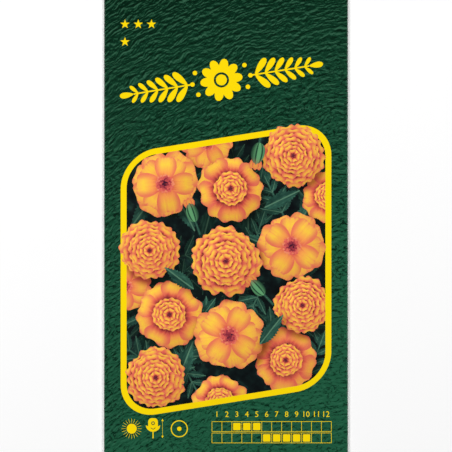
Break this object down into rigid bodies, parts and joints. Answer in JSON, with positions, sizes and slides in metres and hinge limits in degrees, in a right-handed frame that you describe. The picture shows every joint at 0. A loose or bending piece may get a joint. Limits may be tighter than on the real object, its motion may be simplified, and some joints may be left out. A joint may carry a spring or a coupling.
{
  "type": "seed packet",
  "caption": "Flat glued paper envelope with a printed front, folded top and bottom flaps and loose flower seeds inside.",
  "frame": {"origin": "middle of the underside, on the plane the packet lies on", "axes": "+Z out of the printed front, +Y towards the packet's top edge, +X to the right as its front is read"},
  "size_m": [0.08, 0.149, 0.003],
  "materials": {
    "printed_paper": "thin coated paper, satin print outside, plain white inside",
    "seed_husk": "dry ribbed husk"
  },
  "bodies": {
    "root": {"paper_envelope": "printed_paper", "seed_01": "seed_husk", "seed_02": "seed_husk", "seed_03": "seed_husk", "seed_04": "seed_husk", "seed_05": "seed_husk", "seed_06": "seed_husk", "seed_07": "seed_husk", "seed_08": "seed_husk", "seed_09": "seed_husk", "seed_10": "seed_husk", "seed_11": "seed_husk", "seed_12": "seed_husk", "seed_13": "seed_husk", "seed_14": "seed_husk", "seed_15": "seed_husk", "seed_16": "seed_husk", "seed_17": "seed_husk", "seed_18": "seed_husk", "seed_19": "seed_husk", "seed_20": "seed_husk", "seed_21": "seed_husk", "seed_22": "seed_husk", "seed_23": "seed_husk", "seed_24": "seed_husk", "seed_25": "seed_husk", "seed_26": "seed_husk", "seed_27": "seed_husk", "seed_28": "seed_husk", "seed_29": "seed_husk", "seed_30": "seed_husk", "seed_31": "seed_husk", "seed_32": "seed_husk", "seed_33": "seed_husk", "seed_34": "seed_husk", "seed_35": "seed_husk", "seed_36": "seed_husk", "seed_37": "seed_husk", "seed_38": "seed_husk", "seed_39": "seed_husk", "seed_40": "seed_husk", "seed_41": "seed_husk", "seed_42": "seed_husk", "seed_43": "seed_husk", "seed_44": "seed_husk", "seed_45": "seed_husk", "seed_46": "seed_husk", "seed_47": "seed_husk", "seed_48": "seed_husk"}
  },
  "joints": []
}
